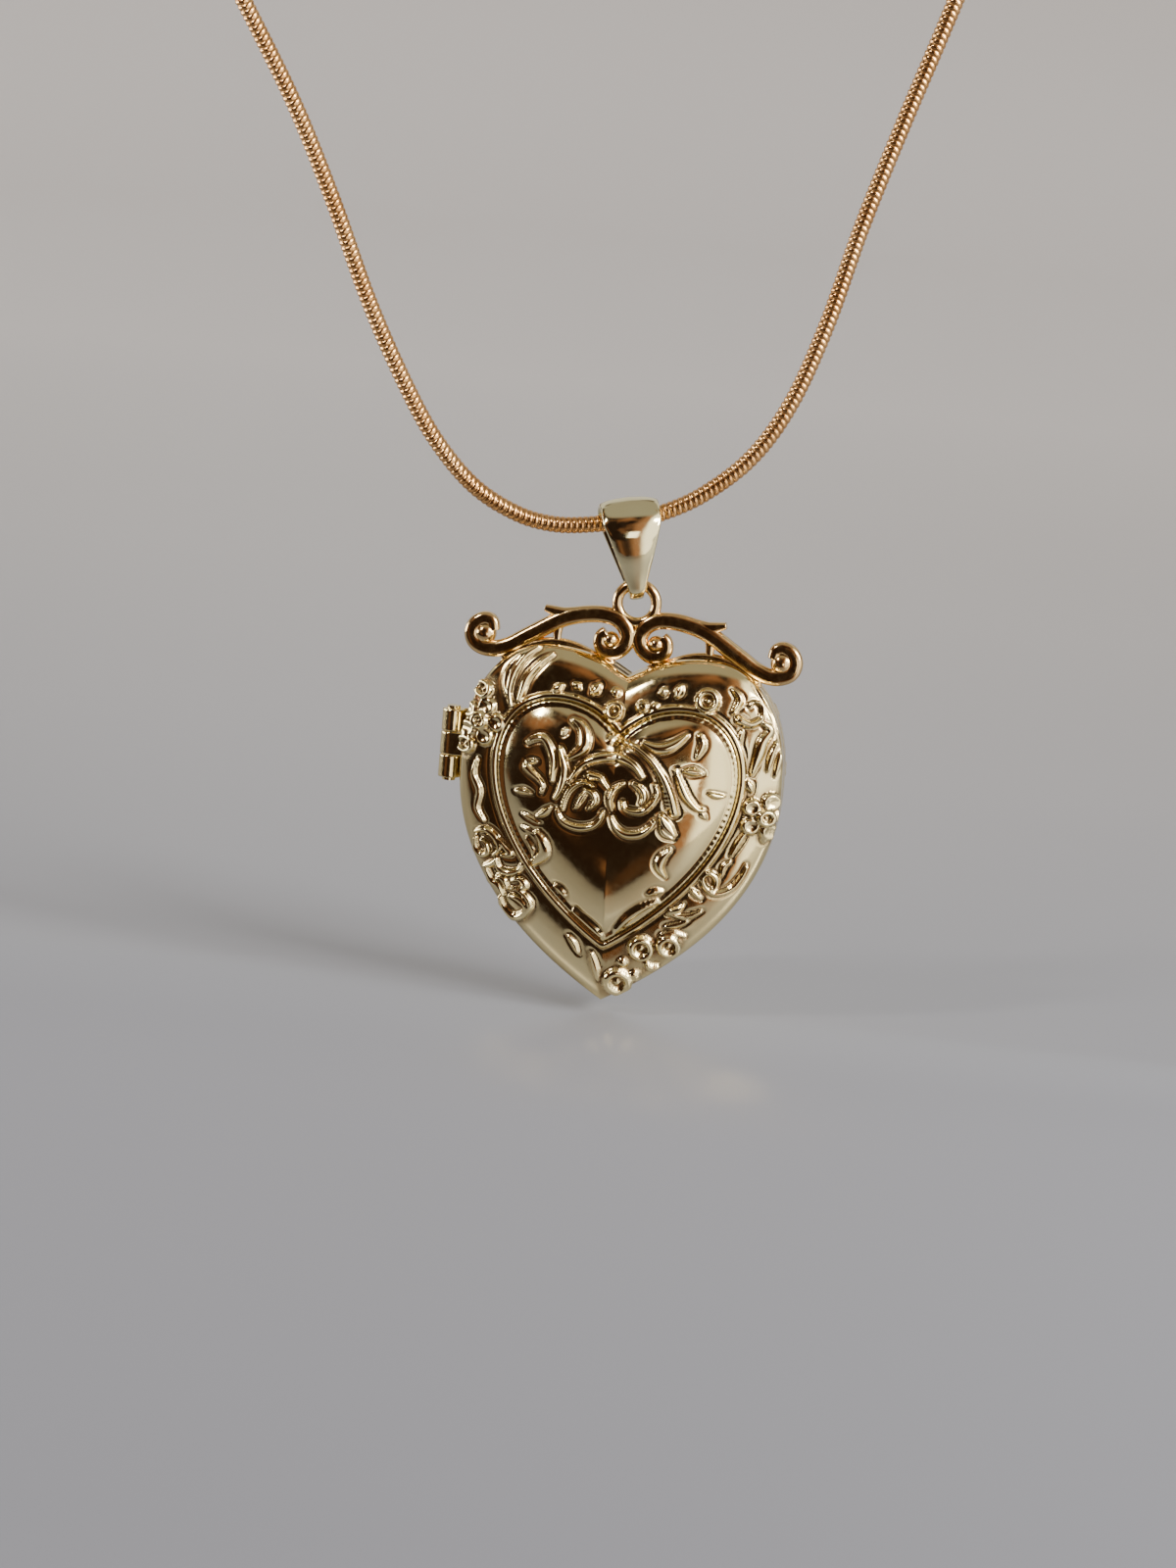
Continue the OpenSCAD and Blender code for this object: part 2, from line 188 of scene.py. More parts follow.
class Shape:
    """Collects closed tubes and balls that make up one piece."""

    def __init__(self):
        self.verts = []
        self.faces = []
        self.count = 0

    def add(self, verts, faces):
        """Adds one closed mesh."""
        self.verts.append(np.asarray(verts, float))
        self.faces += [[int(i) + self.count for i in f] for f in faces]
        self.count += len(verts)

    def tube(self, centres, side, width, depth, power=2.0, around=20):
        """A closed tube; side and the fixed front-to-back axis span its section."""
        n = len(centres)
        width = np.broadcast_to(width, n)
        depth = np.broadcast_to(depth, n)
        a = np.linspace(0, 2 * math.pi, around, endpoint=False)
        ca, sa = np.cos(a), np.sin(a)
        across = np.sign(ca) * np.abs(ca) ** (2 / power)
        front = np.sign(sa) * np.abs(sa) ** (2 / power)
        other = np.cross(tangents(centres), side)
        rings = (centres[:, None] + side[:, None] * (across[None] * width[:, None] / 2)[..., None]
                 + other[:, None] * (front[None] * depth[:, None] / 2)[..., None])
        verts = np.concatenate([rings.reshape(-1, 3), centres[:1], centres[-1:]])
        self.add(verts, capped_grid(n, around))

    def ball(self, centre, radii, rows=12, around=20):
        """An ellipsoid."""
        lat = np.linspace(-math.pi / 2, math.pi / 2, rows)[1:-1]
        lon = np.linspace(0, 2 * math.pi, around, endpoint=False)
        ring = np.stack([np.outer(np.cos(lat), np.cos(lon)), np.outer(np.cos(lat), np.sin(lon)),
                         np.outer(np.sin(lat), np.ones(around))], -1).reshape(-1, 3)
        verts = np.concatenate([ring, [[0, 0, -1]], [[0, 0, 1]]]) * np.array(radii) + np.array(centre)
        self.add(verts, capped_grid(len(lat), around))

    def piece(self, name, material, body, slot):
        """The collected meshes as one piece."""
        return make_piece(name, np.concatenate(self.verts), self.faces, material, body)


# ---- materials ----

def new_material(name):
    """A node material, with its nodes, links and surface shader."""
    material = bpy.data.materials.new(name)
    material.use_nodes = True
    nodes = material.node_tree.nodes
    return material, nodes, material.node_tree.links, nodes["Principled BSDF"]


def noise(nodes, links, vector, scale, detail=2):
    """Noise over the given coordinates."""
    node = nodes.new("ShaderNodeTexNoise")
    node.inputs["Scale"].default_value = scale
    node.inputs["Detail"].default_value = detail
    links.new(vector, node.inputs["Vector"])
    return node.outputs["Fac"]


def colour_ramp(nodes, links, source, stops):
    """Colours blended along a ramp of (position, colour) stops, from low to high."""
    node = nodes.new("ShaderNodeValToRGB")
    elements = node.color_ramp.elements
    elements[0].position = stops[0][0]
    elements[0].color = (*stops[0][1], 1)
    elements[1].position = stops[-1][0]
    elements[1].color = (*stops[-1][1], 1)
    for position, colour in stops[1:-1]:
        elements.new(position).color = (*colour, 1)
    links.new(source, node.inputs["Fac"])
    return node.outputs["Color"]


def remapped(nodes, links, source, low, high, to_low=0.0, to_high=1.0, smooth=False):
    """The source carried from low..high to to_low..to_high, and clamped there."""
    node = nodes.new("ShaderNodeMapRange")
    if smooth:
        node.interpolation_type = "SMOOTHSTEP"
    node.inputs["From Min"].default_value = low
    node.inputs["From Max"].default_value = high
    node.inputs["To Min"].default_value = to_low
    node.inputs["To Max"].default_value = to_high
    links.new(source, node.inputs["Value"])
    return node.outputs["Result"]


def blend_colour(nodes, links, factor, under, over):
    """A colour laid over another where factor is 1."""
    mix = nodes.new("ShaderNodeMix")
    mix.data_type = "RGBA"
    links.new(factor, mix.inputs["Factor"])
    links.new(under, mix.inputs["A"])
    mix.inputs["B"].default_value = (*over, 1)
    return mix.outputs["Result"]


def polished_metal(name, light, dark, hollow_shade, roughness=0.14, cavity=False, scale=1.0):
    """Plated metal: colour varies a little, painted shade darkens the hollows, fine scratches and pits."""
    material, nodes, links, shader = new_material(name)
    shader.inputs["Metallic"].default_value = 1.0
    place = nodes.new("ShaderNodeTexCoord").outputs["Object"]
    cloud = noise(nodes, links, place, 180 * scale, 4)
    colour = colour_ramp(nodes, links, cloud, [(0.3, dark), (0.7, light)])
    speckle = noise(nodes, links, place, 2600 * scale, 3)
    rough = remapped(nodes, links, speckle, 0.3, 0.75, roughness * 0.75, roughness * 1.5)
    if cavity:
        # painted shade: the cavity attribute lays a dark colour over the metal in hollows and creases,
        # where shade falls
        hollow = nodes.new("ShaderNodeAttribute")
        hollow.attribute_name = "cavity"
        colour = blend_colour(nodes, links, hollow.outputs["Fac"], colour, hollow_shade)
        worn = nodes.new("ShaderNodeMath")
        worn.operation = "MULTIPLY_ADD"
        worn.inputs[1].default_value = 0.25
        links.new(hollow.outputs["Fac"], worn.inputs[0])
        links.new(rough, worn.inputs[2])
        rough = worn.outputs["Value"]
    links.new(colour, shader.inputs["Base Color"])
    links.new(rough, shader.inputs["Roughness"])
    bump = nodes.new("ShaderNodeBump")
    bump.inputs["Strength"].default_value = 0.06
    bump.inputs["Distance"].default_value = 0.0002
    links.new(noise(nodes, links, place, 420 * scale, 5), bump.inputs["Height"])
    links.new(bump.outputs["Normal"], shader.inputs["Normal"])
    return material


def card_material():
    """Matt blank card with paper grain."""
    material, nodes, links, shader = new_material("photo_card")
    shader.inputs["Roughness"].default_value = 0.6
    grain = noise(nodes, links, nodes.new("ShaderNodeTexCoord").outputs["Object"], 900)
    tone = colour_ramp(nodes, links, grain, [(0, (0.62, 0.55, 0.43)), (1, (0.86, 0.81, 0.7))])
    links.new(tone, shader.inputs["Base Color"])
    return material


def film_material():
    """Clear film with faint smears."""
    material, nodes, links, shader = new_material("window_film")
    shader.inputs["Base Color"].default_value = (0.93, 0.96, 0.97, 1)
    shader.inputs["Transmission Weight"].default_value = 0.9
    shader.inputs["IOR"].default_value = 1.45
    shader.inputs["Alpha"].default_value = 0.35
    smear = noise(nodes, links, nodes.new("ShaderNodeTexCoord").outputs["Object"], 300)
    links.new(remapped(nodes, links, smear, 0, 1, 0.04, 0.16), shader.inputs["Roughness"])
    return material


# ---- the snake chain ----

# Route of the chain, left end to right end, in metres
CHAIN = [(-0.038, 0.044), (-0.0355, 0.0397), (-0.0304, 0.0313), (-0.0265, 0.0236), (-0.023, 0.0159),
         (-0.0197, 0.0098), (-0.0167, 0.0052), (-0.0132, 0.0016), (-0.0094, -0.0004), (-0.006, -0.001),
         (-0.0024, -0.0006), (0, 0), (0.0024, 0.0007), (0.0058, 0.0026), (0.0095, 0.006),
         (0.0123, 0.0107), (0.0146, 0.0173), (0.0167, 0.0255), (0.0192, 0.0338), (0.0211, 0.0397),
         (0.0234, 0.047)]


def chain_route(count):
    """Evenly spaced points of the chain's middle line, in millimetres."""
    flat = even_spacing(smooth_curve(np.array(CHAIN) / MM, 12), count)
    return np.stack([flat[:, 0], np.zeros(count), flat[:, 1]], 1)


def make_chain(material):
    """Tube of overlapping wavy plates, two staggered rows to a turn."""
    length = np.linalg.norm(np.diff(chain_route(400), axis=0), axis=1).sum()
    rings_per_plate = 8
    rings = int(length / CHAIN_PITCH) * rings_per_plate
    around = 24
    centres = chain_route(rings)
    t = tangents(centres)
    front = np.tile([0.0, -1.0, 0.0], (rings, 1))
    up = np.cross(front, t)
    angle = np.linspace(0, 2 * math.pi, around, endpoint=False)
    run = np.arange(rings)[:, None] / rings_per_plate
    zigzag = np.abs((angle[None] / (math.pi / 2)) % 2 - 1) * 0.5
    phase = (run + zigzag) % 1
    plate = np.abs(np.sin(math.pi * phase)) ** 0.7
    radius = CHAIN_D / 2 * (0.84 + 0.16 * plate)
    verts = (centres[:, None] + front[:, None] * (radius * np.sin(angle))[..., None]
             + up[:, None] * (radius * np.cos(angle))[..., None])
    verts = np.concatenate([verts.reshape(-1, 3), centres[:1], centres[-1:]])
    # painted shade: the colour darkens between the plates' crests, where they overlap
    cavity = np.concatenate([((1 - plate) ** 2).reshape(-1), [0, 0]])
    piece = make_piece("snake_chain_plates", verts, capped_grid(rings, around), material,
                       "chain", values=cavity)
    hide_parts("snake_chain")
    return piece, length, centres * MM


# ---- the heart ----

def bezier(p, n):
    """Points of a cubic curve, without its last one."""
    t = np.linspace(0, 1, n, endpoint=False)[:, None]
    p = np.array(p, float)
    return p[0] * (1 - t) ** 3 + p[1] * 3 * t * (1 - t) ** 2 + p[2] * 3 * t * t * (1 - t) + p[3] * t ** 3


def closed_outline(parts, n=60):
    """Right side of a heart from its curves, and the left as its mirror image."""
    right = np.concatenate([bezier(p, n) for p in parts] + [np.array([parts[-1][3]], float)])
    left = right[1:-1][::-1] * [-1, 1]
    return np.concatenate([right, left])


HEART = closed_outline([
    [(0, -5.9), (1.3, -5.2), (3.2, -3.9), (6.3, -3.9)],
    [(6.3, -3.9), (10.6, -3.9), (13.3, -8), (13.3, -13)],
    [(13.3, -13), (13.8, -19.8), (10.6, -26.9), (0, -33.1)]])
MEDALLION = closed_outline([
    [(0, -10.9), (1.0, -9.5), (2.8, -8.2), (5.2, -8.2)],
    [(5.2, -8.2), (8.2, -8.2), (9.8, -10.5), (9.8, -13.4)],
    [(9.8, -13.4), (9.8, -18.5), (5.6, -23.9), (0, -27.6)]])


def radius_by_angle(outline):
    """Distance from the heart's middle to an outline, as a function of direction."""
    dx, dh = outline[:, 0], outline[:, 1] - HEART_MID
    angle = np.arctan2(dx, dh)
    order = np.argsort(angle)
    a, r = angle[order], np.hypot(dx, dh)[order]
    a = np.concatenate([a - 2 * math.pi, a, a + 2 * math.pi])
    r = np.tile(r, 3)
    return lambda at: np.interp((at + math.pi) % (2 * math.pi) - math.pi, a, r)


heart_radius = radius_by_angle(HEART)
medallion_radius = radius_by_angle(MEDALLION)


def to_polyline(x, h, line):
    """Distance to a polyline, and how far along it the nearest point lies, from 0 to 1."""
    run = np.concatenate([[0], np.cumsum(np.linalg.norm(np.diff(line, axis=0), axis=1))])
    best = np.full(x.shape, 1e9)
    where = np.zeros(x.shape)
    for i in range(len(line) - 1):
        a, d = line[i], line[i + 1] - line[i]
        size = max(float(d @ d), 1e-9)
        t = np.clip(((x - a[0]) * d[0] + (h - a[1]) * d[1]) / size, 0, 1)
        dist = np.hypot(x - a[0] - t * d[0], h - a[1] - t * d[1])
        near = dist < best
        best[near] = dist[near]
        where[near] = (run[i] + t[near] * (run[i + 1] - run[i])) / run[-1]
    return best, where


# Raised strokes as (name, width, height, thick end, points [x, h] from the eyelet)
MEDALLION_STROKES = [
    ("hook_leaf", 0.5, 0.32, "both",
     [[-7.4, -11.7], [-6.8, -11.3], [-6.1, -11.2], [-5.5, -11.9], [-5.1, -13.0], [-5.1, -14.5]]),
    ("spindle", 0.55, 0.34, "both",
     [[-4.6, -11.8], [-4.2, -13.1], [-4.1, -13.8], [-4.3, -15.0], [-4.7, -15.9]]),
    ("crescent_top", 0.75, 0.34, "both",
     [[-3.8, -9.5], [-3.1, -9.9], [-2.7, -10.7], [-2.8, -11.6], [-3.8, -12.5]]),
    ("dash_top", 0.28, 0.2, "both",
     [[-4.6, -10.7], [-4.3, -10.2]]),
    ("dash_left_a", 0.3, 0.2, "both",
     [[-7.4, -13.3], [-6.5, -13.1]]),
    ("comma_left", 0.5, 0.3, "head",
     [[-7.3, -13.7], [-6.8, -14.1], [-6.2, -14.5], [-5.8, -15.0], [-5.9, -15.6]]),
    ("dash_left_b", 0.36, 0.2, "both",
     [[-8.1, -15.8], [-7.4, -15.7], [-6.8, -15.8]]),
    ("dash_left_c", 0.42, 0.25, "both",
     [[-6.1, -17.6], [-5.6, -17.3], [-5.0, -16.7]]),
    ("dash_left_d", 0.26, 0.16, "both",
     [[-7.4, -17.6], [-5.9, -18.2]]),
    ("dash_left_e", 0.24, 0.16, "both",
     [[-7.4, -18.7], [-6.3, -19.1]]),
    ("crescent_left", 0.8, 0.34, "both",
     [[-6.0, -19.0], [-5.5, -19.7], [-5.3, -20.6], [-5.8, -21.3], [-6.3, -21.8]]),
    ("crescent_left_b", 0.4, 0.2, "both",
     [[-6.9, -19.6], [-6.4, -20.4], [-6.2, -21.2]]),
    ("arch", 0.55, 0.32, "both",
     [[-3.7, -14.5], [-3.1, -13.4], [-2.3, -12.6], [-0.9, -12.1], [0.5, -12.1], [1.6, -12.6],
      [2.3, -13.4]]),
    ("ring_left_out", 0.36, 0.28, "both",
     [[-4.0, -16.8], [-3.9, -15.9], [-3.6, -15.1], [-3.0, -14.5], [-2.3, -14.3], [-1.8, -14.5]]),
    ("ring_left_low", 0.42, 0.3, "both",
     [[-4.5, -16.8], [-4.2, -17.4], [-3.6, -17.9], [-2.5, -18.1], [-1.4, -17.8], [-0.8, -17.1],
      [-0.7, -16.6]]),
    ("ring_left_diag", 0.34, 0.22, "both",
     [[-2.9, -16.5], [-2.6, -15.8], [-2.1, -14.9]]),
    ("ring_left_in", 0.4, 0.28, "both",
     [[-2.3, -14.8], [-1.6, -15.2], [-1.4, -15.8], [-1.8, -16.4]]),
    ("comma_mid", 0.44, 0.28, "head",
     [[-2.0, -13.7], [-1.2, -13.8], [-0.8, -14.2], [-0.4, -14.6]]),
    ("ring_right_out", 0.36, 0.3, "both",
     [[0, -16.2], [-0.2, -15.5], [0.1, -14.6], [0.8, -14.1]]),
    ("ring_right_in", 0.42, 0.3, "both",
     [[1.6, -14.0], [2.3, -14.4], [2.6, -15.0], [2.4, -15.6]]),
    ("ring_right_far", 0.42, 0.3, "both",
     [[3.4, -14.0], [3.6, -14.7], [3.2, -15.5], [2.5, -16.2], [1.7, -16.3], [1.1, -16.1], [0.9, -15.6]]),
    ("ring_right_low", 0.5, 0.32, "both",
     [[0.1, -17.0], [0.5, -17.7], [1.3, -18.2], [2.4, -18.1], [3.2, -17.5], [3.6, -16.9]]),
    ("stem_right", 0.5, 0.34, "tail",
     [[-0.3, -10.7], [1.5, -11.1], [2.8, -11.9], [3.6, -12.8], [4.2, -13.7], [4.7, -14.8], [5.1, -16.1]]),
    ("stem_right_b", 0.3, 0.2, "both",
     [[2.6, -11.9], [3.4, -12.8], [4.1, -14.1], [4.5, -15.8]]),
    ("leaf_right", 0.5, 0.32, "both",
     [[4.9, -12.6], [5.4, -13.7], [6.0, -14.8], [6.8, -15.6], [7.4, -15.7]]),
    ("leaf_almond", 0.62, 0.3, "both",
     [[2.1, -10.7], [3.3, -11.0], [4.4, -10.7], [5.5, -9.8]]),
    ("comma_right_a", 0.5, 0.26, "both",
     [[6.5, -9.7], [6.8, -10.4], [6.5, -11.4]]),
    ("comma_right_b", 0.5, 0.26, "both",
     [[5.6, -12.6], [6.2, -12.6], [7.0, -12.7]]),
    ("dash_right_c", 0.36, 0.22, "both",
     [[7.7, -14.3], [8.3, -14.5], [8.9, -14.5]]),
    ("leaf_low_mid", 0.75, 0.32, "both",
     [[4.1, -16.5], [4.5, -17.2], [5.2, -17.9]]),
    ("leaf_low_mid_b", 0.5, 0.28, "both",
     [[4.1, -17.2], [4.4, -17.8], [5.1, -18.2]]),
    ("dash_right_d", 0.36, 0.2, "both",
     [[7.2, -15.9], [7.6, -16.4]]),
    ("crescent_right", 0.6, 0.34, "both",
     [[5.0, -19.2], [4.4, -19.9], [4.2, -20.7], [4.7, -21.5]]),
    ("leaf_low_right", 0.42, 0.24, "both",
     [[3.4, -23.2], [4.0, -22.9], [4.6, -22.8]]),
    ("leaf_low_left", 0.42, 0.24, "both",
     [[-4.3, -23.3], [-3.8, -23.6], [-3.3, -24.1]]),
    ("leaf_tip_left", 0.62, 0.3, "both",
     [[-2.5, -25.2], [-1.9, -25.9], [-1.0, -26.5], [-0.1, -27.1]]),
    ("leaf_tip_right", 0.55, 0.26, "both",
     [[0.9, -26.6], [1.8, -25.5], [2.8, -24.6], [4.2, -23.7]]),
]
BORDER_STROKES = [
    ("leaf_arc_a", 0.5, 0.3, "both",
     [[-8.8, -9.5], [-8.5, -8.1], [-8.1, -6.6], [-7.1, -5.3], [-6.2, -4.6]]),
    ("leaf_arc_b", 0.45, 0.28, "both",
     [[-9.0, -9.5], [-9.5, -8.0], [-9.3, -6.4], [-8.5, -5.0], [-7.4, -4.2]]),
    ("leaf_arc_c", 0.4, 0.24, "both",
     [[-9.6, -8.3], [-9.9, -7.2], [-9.6, -5.9], [-8.6, -4.8]]),
    ("bump_top_a", 0.5, 0.34, "both",
     [[-5.8, -7.4], [-5.1, -6.9]]),
    ("bump_top_b", 0.5, 0.34, "both",
     [[-4.1, -6.7], [-3.7, -7.0]]),
    ("bump_top_c", 0.6, 0.36, "both",
     [[-2.6, -7.3], [-2.1, -6.6]]),
    ("bump_top_d", 0.5, 0.3, "both",
     [[-2.5, -8.3], [-2.2, -8.7]]),
    ("bump_top_e", 0.5, 0.3, "both",
     [[3.1, -6.4], [3.2, -6.8]]),
    ("bump_top_f", 0.55, 0.34, "both",
     [[4.3, -6.9], [4.6, -6.0]]),
    ("bump_top_g", 0.5, 0.3, "both",
     [[5.2, -7.5], [5.5, -7.9]]),
    ("scroll_top_right", 0.5, 0.36, "head",
     [[9.5, -8.3], [10.4, -8.6], [11.2, -8.1], [11.1, -7.1], [10.5, -6.8], [10.2, -7.2]]),
    ("scroll_top_right_b", 0.45, 0.3, "both",
     [[8.8, -6.0], [9.4, -6.7], [8.9, -7.8]]),
    ("wave_right", 0.7, 0.34, "both",
     [[11.4, -8.5], [12.0, -9.0], [11.5, -10.0], [11.3, -11.0], [10.9, -12.5]]),
    ("wave_right_b", 0.45, 0.26, "both",
     [[9.8, -9.2], [9.6, -10.5], [10.0, -11.9], [10.5, -12.8]]),
    ("wave_right_c", 0.4, 0.26, "both",
     [[12.6, -9.9], [12.3, -11.1], [12.1, -12.3]]),
    ("wave_right_d", 0.36, 0.24, "both",
     [[10.4, -5.4], [11.5, -6.7], [12.3, -7.8], [12.7, -9.2]]),
    ("wave_right_e", 0.36, 0.24, "both",
     [[13.1, -10.4], [12.9, -11.6], [12.7, -12.7]]),
    ("bud_right", 0.55, 0.3, "both",
     [[10.6, -13.2], [11.0, -14.0]]),
    ("tendril_right_a", 0.4, 0.26, "both",
     [[12.1, -17.4], [12.3, -18.1], [12.6, -17.2]]),
    ("tendril_right_b", 0.4, 0.26, "both",
     [[11.0, -17.1], [10.2, -18.6], [9.8, -19.5]]),
    ("tendril_right_c", 0.36, 0.22, "both",
     [[9.8, -20.0], [9.3, -20.5], [9.2, -21.3]]),
    ("scroll_right", 0.42, 0.34, "both",
     [[11.1, -20.3], [10.7, -21.3], [9.9, -22.4], [8.8, -22.8], [8.0, -22.3], [7.7, -21.5],
      [8.2, -21.0], [8.7, -21.5]]),
    ("scroll_right_in", 0.4, 0.3, "both",
     [[7.5, -21.7], [8.2, -21.1], [8.8, -21.5], [8.7, -22.3], [8.0, -22.4]]),
    ("lump_right_a", 0.42, 0.3, "both",
     [[5.2, -24.6], [5.9, -24.4], [6.3, -24.0]]),
    ("lump_right_b", 0.4, 0.26, "both",
     [[6.8, -22.5], [7.3, -23.0], [7.7, -23.3]]),
    ("lump_right_c", 0.4, 0.22, "both",
     [[5.1, -24.8], [6.5, -25.0], [7.8, -24.4]]),
    ("lump_right_d", 0.4, 0.22, "both",
     [[4.9, -26.0], [6.0, -25.7], [6.8, -25.3]]),
    ("lump_low_a", 0.5, 0.3, "both",
     [[3.6, -29.3], [4.0, -29.7], [4.5, -29.5]]),
    ("lump_low_b", 0.4, 0.22, "both",
     [[4.6, -26.7], [5.6, -26.5], [6.7, -26.7]]),
    ("dash_low_left", 0.4, 0.24, "both",
     [[-2.9, -27.6], [-2.4, -28.2], [-2.0, -29.0]]),
    ("dash_low_mid", 0.5, 0.24, "both",
     [[-0.9, -28.8], [-0.5, -30.0], [-0.2, -31.1]]),
    ("lace_a", 0.5, 0.36, "both",
     [[-11.3, -19.8], [-10.5, -19.5], [-9.6, -20.1], [-9.2, -20.9], [-9.7, -21.6]]),
    ("lace_b", 0.45, 0.34, "both",
     [[-11.3, -20.3], [-11.3, -21.2], [-10.8, -21.7], [-10.2, -21.5], [-10.3, -20.8], [-10.8, -20.4]]),
    ("lace_c", 0.45, 0.32, "both",
     [[-9.2, -20.2], [-8.6, -20.9], [-8.2, -21.3], [-9.0, -21.5]]),
    ("lace_d", 0.5, 0.34, "both",
     [[-9.4, -21.9], [-9.1, -22.7], [-8.3, -22.9], [-7.5, -22.6], [-7.2, -22.0]]),
    ("lace_e", 0.45, 0.32, "both",
     [[-10.5, -22.7], [-9.7, -22.3], [-9.4, -21.8]]),
    ("lace_f", 0.5, 0.34, "both",
     [[-10.2, -22.8], [-9.8, -23.8], [-9.2, -24.1], [-8.6, -24.9]]),
    ("lace_g", 0.42, 0.3, "both",
     [[-8.1, -23.6], [-7.4, -23.3], [-6.8, -23.8], [-7.3, -24.2], [-8.0, -24.2]]),
    ("lace_h", 0.5, 0.36, "both",
     [[-8.1, -24.8], [-7.3, -25.0], [-6.7, -25.5], [-6.8, -26.0]]),
    ("lace_i", 0.55, 0.36, "both",
     [[-8.9, -25.1], [-8.6, -26.0], [-7.7, -26.7], [-6.9, -26.4], [-6.3, -25.4], [-6.7, -24.7],
      [-7.3, -24.3]]),
    ("lace_j", 0.4, 0.28, "both",
     [[-9.3, -23.3], [-8.7, -23.6], [-8.3, -24.3]]),
    ("vine_left", 0.45, 0.3, "both",
     [[-11.7, -13.8], [-11.9, -15.1], [-11.3, -16.4], [-11.4, -17.8], [-10.7, -18.8]]),
    ("leaf_left_edge", 0.5, 0.3, "both",
     [[-13.2, -9.5], [-12.6, -8.5], [-12.2, -7.6]]),
]
# Raised rounds as (name, kind, radius, (x, h))
ROUNDS = [
    ("bezel_top", "bezel", 0.78, (6.8, -7.0)),
    ("ringlet_top", "bezel", 0.66, (-0.7, -8.6)),
    ("bead_a", "bead", 0.3, (-0.7, -7.1)),
    ("bezel_low_a", "bezel", 0.85, (3.1, -28.0)),
    ("bezel_low_b", "bezel", 0.8, (5.3, -27.6)),
    ("bezel_low_c", "bezel", 0.95, (1.3, -31.1)),
    ("bead_low_a", "bead", 0.42, (2.7, -30.5)),
    ("bead_low_b", "bead", 0.36, (1.7, -29.4)),
    ("bead_notch", "bead", 0.42, (-0.5, -10.7)),
    ("ringlet_b", "bezel", 0.4, (1.6, -8.0)),
    ("ringlet_c", "bead", 0.3, (2.6, -7.9)),
    ("flower_right", "flower", 0.62, (12.2, -16.1)),
    ("flower_left", "flower", 0.62, (-11.6, -10.6)),
    ("bud_left_a", "bezel", 0.6, (-11.6, -8.1)),
    ("bud_left_b", "bezel", 0.62, (-12.7, -12.7)),
]


def stroke_relief(x, h, strokes):
    """Height of rounded, tapering strokes, and the hollow that runs beside each."""
    top = np.zeros(x.shape)
    moat = np.zeros(x.shape)
    for _, width, height, thick, points in strokes:
        line = smooth_curve(points, 6)
        width, height = width * STROKE_SWELL, height * STROKE_SWELL
        reach = width * 1.4
        box = ((x > line[:, 0].min() - reach) & (x < line[:, 0].max() + reach)
               & (h > line[:, 1].min() - reach) & (h < line[:, 1].max() + reach))
        if not box.any():
            continue
        dist, where = to_polyline(x[box], h[box], line)
        if thick == "head":
            half = width / 2 * (1.15 - 0.85 * where)
        elif thick == "tail":
            half = width / 2 * (0.5 + 0.75 * where)
        else:
            half = width / 2 * (0.45 + 0.65 * np.sin(math.pi * where))
        v = dist / half
        top[box] = np.maximum(top[box], height * np.clip(1 - v * v, 0, 1) ** 0.65)
        moat[box] = np.maximum(moat[box], np.clip(1 - np.abs(dist - half - 0.08) / 0.22, 0, 1))
    return top, moat


def round_relief(x, h, rounds):
    """Height of beads, ringed bezels and five-petalled flowers."""
    top = np.zeros(x.shape)
    for _, kind, radius, (cx, ch) in rounds:
        dx, dh = x - cx, h - ch
        d = np.hypot(dx, dh)
        radius = radius * STROKE_SWELL
        if kind == "bead":
            top = np.maximum(top, radius * 0.8 * np.sqrt(np.clip(1 - (d / radius) ** 2, 0, 1)))
        if kind in ("bezel", "flower"):
            r = radius * (0.72 if kind == "bezel" else 0.62)
            wire = radius * 0.3
            ring = 0.5 * np.sqrt(np.clip(1 - ((d - r) / wire) ** 2, 0, 1))
            pip = 0.25 * np.sqrt(np.clip(1 - (d / (radius * 0.25)) ** 2, 0, 1))
            lift = 0.12 if kind == "bezel" else 0.35
            top = np.maximum(top, np.maximum(ring, pip) + lift * (d < radius * 1.02))
        if kind == "flower":
            for k in range(5):
                a = 2 * math.pi * k / 5 + 0.3
                px, ph = cx + 1.3 * math.sin(a), ch + 1.3 * math.cos(a)
                dp = np.hypot(x - px, h - ph)
                petal = 0.62 * np.sqrt(np.clip(1 - (dp / 0.78) ** 2, 0, 1))
                cup = 0.34 * np.clip(1 - (dp / 0.5) ** 2, 0, 1)
                top = np.maximum(top, petal - cup)
    return top


def step(value, low, high):
    """0 below low, 1 above high, smooth between."""
    t = np.clip((value - low) / (high - low), 0, 1)
    return t * t * (3 - 2 * t)


def blurred(grid, reach):
    """The grid averaged over its neighbours, round the turn and along the rays."""
    out = sum(np.roll(grid, k, axis=1) for k in range(-reach, reach + 1)) / (2 * reach + 1)
    padded = np.pad(out, ((reach, reach), (0, 0)), mode="edge")
    return sum(padded[k:k + len(grid)] for k in range(2 * reach + 1)) / (2 * reach + 1)


